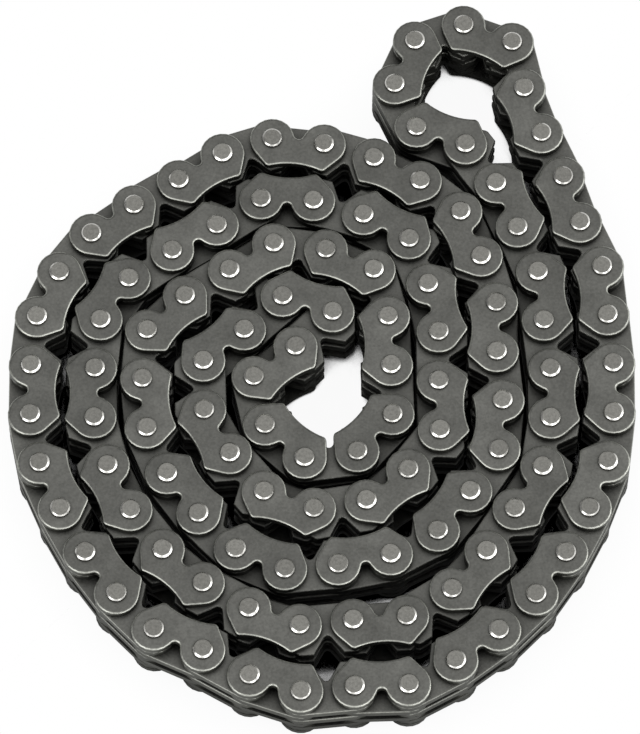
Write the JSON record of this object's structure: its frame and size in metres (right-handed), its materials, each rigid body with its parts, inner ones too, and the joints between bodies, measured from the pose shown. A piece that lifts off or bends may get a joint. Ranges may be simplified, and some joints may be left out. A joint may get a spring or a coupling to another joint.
{
  "type": "inverted-tooth chain",
  "caption": "Endless inverted-tooth timing chain of guide links and turning link plates on pins, doubled over and coiled flat with a loop at one side.",
  "frame": {"origin": "centre of the coiled chain's footprint, on the plane of the pins' lower ends", "axes": "+Z along the pins, away from the surface the chain lies on; +Y towards the loop end of the coil, along its longest extent; +X to the right of that"},
  "size_m": [0.0752, 0.092, 0.0087],
  "materials": {
    "plates": "tumbled and oiled dark steel",
    "pins": "ground steel, ends peened bright"
  },
  "bodies": {
    "coil": {"coil_guide_plates_top": "plates", "coil_guide_plates_bottom": "plates", "coil_mid_plates_upper": "plates", "coil_mid_plates_lower": "plates", "coil_link_plates_upper": "plates", "coil_link_plates_middle": "plates", "coil_link_plates_lower": "plates", "coil_pins": "pins"},
    "outer_guide_link_1": {"outer_guide_plates_1": "plates", "outer_mid_plates_1": "plates", "outer_pins_1": "pins"},
    "outer_guide_link_2": {"outer_guide_plates_2": "plates", "outer_mid_plates_2": "plates", "outer_pins_2": "pins"},
    "outer_guide_link_3": {"outer_guide_plates_3": "plates", "outer_mid_plates_3": "plates", "outer_pins_3": "pins"},
    "outer_guide_link_4": {"outer_guide_plates_4": "plates", "outer_mid_plates_4": "plates", "outer_pins_4": "pins"},
    "outer_guide_link_5": {"outer_guide_plates_5": "plates", "outer_mid_plates_5": "plates", "outer_pins_5": "pins"},
    "outer_guide_link_6": {"outer_guide_plates_6": "plates", "outer_mid_plates_6": "plates", "outer_pins_6": "pins"},
    "outer_guide_link_7": {"outer_guide_plates_7": "plates", "outer_mid_plates_7": "plates", "outer_pins_7": "pins"},
    "outer_guide_link_8": {"outer_guide_plates_8": "plates", "outer_mid_plates_8": "plates", "outer_pins_8": "pins"},
    "outer_guide_link_9": {"outer_guide_plates_9": "plates", "outer_mid_plates_9": "plates", "outer_pins_9": "pins"},
    "outer_guide_link_10": {"outer_guide_plates_10": "plates", "outer_mid_plates_10": "plates", "outer_pins_10": "pins"},
    "outer_turning_link_1": {"outer_link_plates_1": "plates"},
    "outer_turning_link_2": {"outer_link_plates_2": "plates"},
    "outer_turning_link_3": {"outer_link_plates_3": "plates"},
    "outer_turning_link_4": {"outer_link_plates_4": "plates"},
    "outer_turning_link_5": {"outer_link_plates_5": "plates"},
    "outer_turning_link_6": {"outer_link_plates_6": "plates"},
    "outer_turning_link_7": {"outer_link_plates_7": "plates"},
    "outer_turning_link_8": {"outer_link_plates_8": "plates"},
    "outer_turning_link_9": {"outer_link_plates_9": "plates"},
    "outer_turning_link_10": {"outer_link_plates_10": "plates"},
    "outer_turning_link_11": {"outer_link_plates_11": "plates"},
    "loop_guide_link_1": {"loop_guide_plates_1": "plates", "loop_mid_plates_1": "plates", "loop_pins_1": "pins"},
    "loop_turning_link_1": {"loop_link_plates_1": "plates"},
    "loop_guide_link_2": {"loop_guide_plates_2": "plates", "loop_mid_plates_2": "plates", "loop_pins_2": "pins"},
    "loop_turning_link_2": {"loop_link_plates_2": "plates"}
  },
  "joints": [
    {"name": "outer_hinge_01", "type": "hinge", "parent": "coil", "child": "outer_turning_link_11", "pos_m": [-0.02418, -0.03109, 0.00437], "axis": [0, 0, -1], "range_deg": [0, 18]},
    {"name": "outer_hinge_02", "type": "hinge", "parent": "outer_turning_link_11", "child": "outer_guide_link_10", "pos_m": [-0.01971, -0.03559, 0.00437], "axis": [0, 0, -1], "range_deg": [0, 31]},
    {"name": "outer_hinge_03", "type": "hinge", "parent": "outer_guide_link_10", "child": "outer_turning_link_10", "pos_m": [-0.01392, -0.03818, 0.00437], "axis": [0, 0, -1], "range_deg": [0, 5]},
    {"name": "outer_hinge_04", "type": "hinge", "parent": "outer_turning_link_10", "child": "outer_guide_link_9", "pos_m": [-0.00837, -0.04129, 0.00437], "axis": [0, 0, -1], "range_deg": [0, 21]},
    {"name": "outer_hinge_05", "type": "hinge", "parent": "outer_guide_link_9", "child": "outer_turning_link_9", "pos_m": [-0.00234, -0.04327, 0.00437], "axis": [0, 0, -1], "range_deg": [0, 34]},
    {"name": "outer_hinge_06", "type": "hinge", "parent": "outer_turning_link_9", "child": "outer_guide_link_8", "pos_m": [0.00398, -0.04261, 0.00437], "axis": [0, 0, -1], "range_deg": [0, 6]},
    {"name": "outer_hinge_07", "type": "hinge", "parent": "outer_guide_link_8", "child": "outer_turning_link_8", "pos_m": [0.01032, -0.04239, 0.00437], "axis": [0, 0, -1], "range_deg": [0, 37]},
    {"name": "outer_hinge_08", "type": "hinge", "parent": "outer_turning_link_8", "child": "outer_guide_link_7", "pos_m": [0.01589, -0.03934, 0.00437], "axis": [0, 0, -1], "range_deg": [0, 18]},
    {"name": "outer_hinge_09", "type": "hinge", "parent": "outer_guide_link_7", "child": "outer_turning_link_7", "pos_m": [0.02096, -0.03552, 0.00437], "axis": [0, 0, -1], "range_deg": [0, 18]},
    {"name": "outer_hinge_10", "type": "hinge", "parent": "outer_turning_link_7", "child": "outer_guide_link_6", "pos_m": [0.02541, -0.03099, 0.00437], "axis": [0, 0, -1], "range_deg": [0, 20]},
    {"name": "outer_hinge_11", "type": "hinge", "parent": "outer_guide_link_6", "child": "outer_turning_link_6", "pos_m": [0.02898, -0.02574, 0.00437], "axis": [0, 0, -1], "range_deg": [0, 17]},
    {"name": "outer_hinge_12", "type": "hinge", "parent": "outer_turning_link_6", "child": "outer_guide_link_5", "pos_m": [0.03184, -0.02007, 0.00437], "axis": [0, 0, -1], "range_deg": [0, 16]},
    {"name": "outer_hinge_13", "type": "hinge", "parent": "outer_guide_link_5", "child": "outer_turning_link_5", "pos_m": [0.03411, -0.01414, 0.00437], "axis": [0, 0, -1], "range_deg": [0, 24]},
    {"name": "outer_hinge_14", "type": "hinge", "parent": "outer_turning_link_5", "child": "outer_guide_link_4", "pos_m": [0.03487, -0.00783, 0.00437], "axis": [0, 0, -1], "range_deg": [0, 17]},
    {"name": "outer_hinge_15", "type": "hinge", "parent": "outer_guide_link_4", "child": "outer_turning_link_4", "pos_m": [0.03491, -0.00148, 0.00437], "axis": [0, 0, -1], "range_deg": [0, 16]},
    {"name": "outer_hinge_16", "type": "hinge", "parent": "outer_turning_link_4", "child": "outer_guide_link_3", "pos_m": [0.03432, 0.00484, 0.00437], "axis": [0, 0, -1], "range_deg": [0, 10]},
    {"name": "outer_hinge_17", "type": "hinge", "parent": "outer_guide_link_3", "child": "outer_turning_link_3", "pos_m": [0.03373, 0.01116, 0.00437], "axis": [0, 0, -1], "range_deg": [0, 29]},
    {"name": "outer_hinge_18", "type": "hinge", "parent": "outer_turning_link_3", "child": "outer_guide_link_2", "pos_m": [0.03115, 0.01696, 0.00437], "axis": [0, 0, -1], "range_deg": [0, 4]},
    {"name": "outer_hinge_19", "type": "hinge", "parent": "outer_guide_link_2", "child": "outer_turning_link_2", "pos_m": [0.02916, 0.023, 0.00437], "axis": [0, 0, -1], "range_deg": [0, 16]},
    {"name": "outer_hinge_20", "type": "hinge", "parent": "outer_turning_link_2", "child": "outer_guide_link_1", "pos_m": [0.02658, 0.02879, 0.00437], "axis": [0, 0, -1], "range_deg": [0, 5]},
    {"name": "outer_hinge_21", "type": "hinge", "parent": "outer_guide_link_1", "child": "outer_turning_link_1", "pos_m": [0.0245, 0.03479, 0.00437], "axis": [0, 0, -1], "range_deg": [-6, 4]},
    {"name": "loop_hinge_01", "type": "hinge", "parent": "coil", "child": "loop_turning_link_1", "pos_m": [0.01137, 0.0295, 0.00437], "axis": [0, 0, 1], "range_deg": [0, 45]},
    {"name": "loop_hinge_02", "type": "hinge", "parent": "loop_turning_link_1", "child": "loop_guide_link_1", "pos_m": [0.00872, 0.03527, 0.00437], "axis": [0, 0, 1], "range_deg": [0, 48]},
    {"name": "loop_hinge_03", "type": "hinge", "parent": "loop_guide_link_1", "child": "loop_turning_link_2", "pos_m": [0.01121, 0.04111, 0.00437], "axis": [0, 0, 1], "range_deg": [0, 47]},
    {"name": "loop_hinge_04", "type": "hinge", "parent": "loop_turning_link_2", "child": "loop_guide_link_2", "pos_m": [0.01718, 0.04327, 0.00437], "axis": [0, 0, 1], "range_deg": [-6, 41]}
  ]
}
